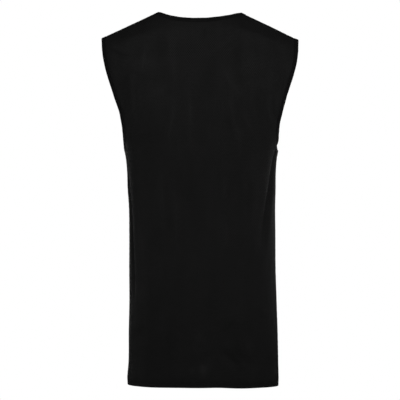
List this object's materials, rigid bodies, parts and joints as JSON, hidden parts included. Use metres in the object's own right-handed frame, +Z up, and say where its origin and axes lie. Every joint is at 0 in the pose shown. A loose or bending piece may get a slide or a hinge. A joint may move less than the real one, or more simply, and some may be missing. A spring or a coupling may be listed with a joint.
{
  "type": "basketball jersey",
  "caption": "Sleeveless mesh-knit basketball jersey kept in its hollow worn shape, with a scooped neck, bound neck and armholes and an open, turned-up hem.",
  "frame": {"origin": "middle of the neck opening, level with the high points of the shoulders, where the wearer's shoulders carry the garment", "axes": "+Z up, -Y towards the front of the garment, +X towards the wearer's left"},
  "size_m": [0.4328, 0.2343, 0.821],
  "materials": {
    "mesh_knit": "black polyester eyelet mesh knit, soft low sheen",
    "binding_knit": "black polyester rib knit, matt"
  },
  "bodies": {
    "root": {"back_panel": "mesh_knit", "front_panel": "mesh_knit", "neck_binding": "binding_knit", "armhole_binding_left": "binding_knit", "armhole_binding_right": "binding_knit"}
  },
  "joints": []
}
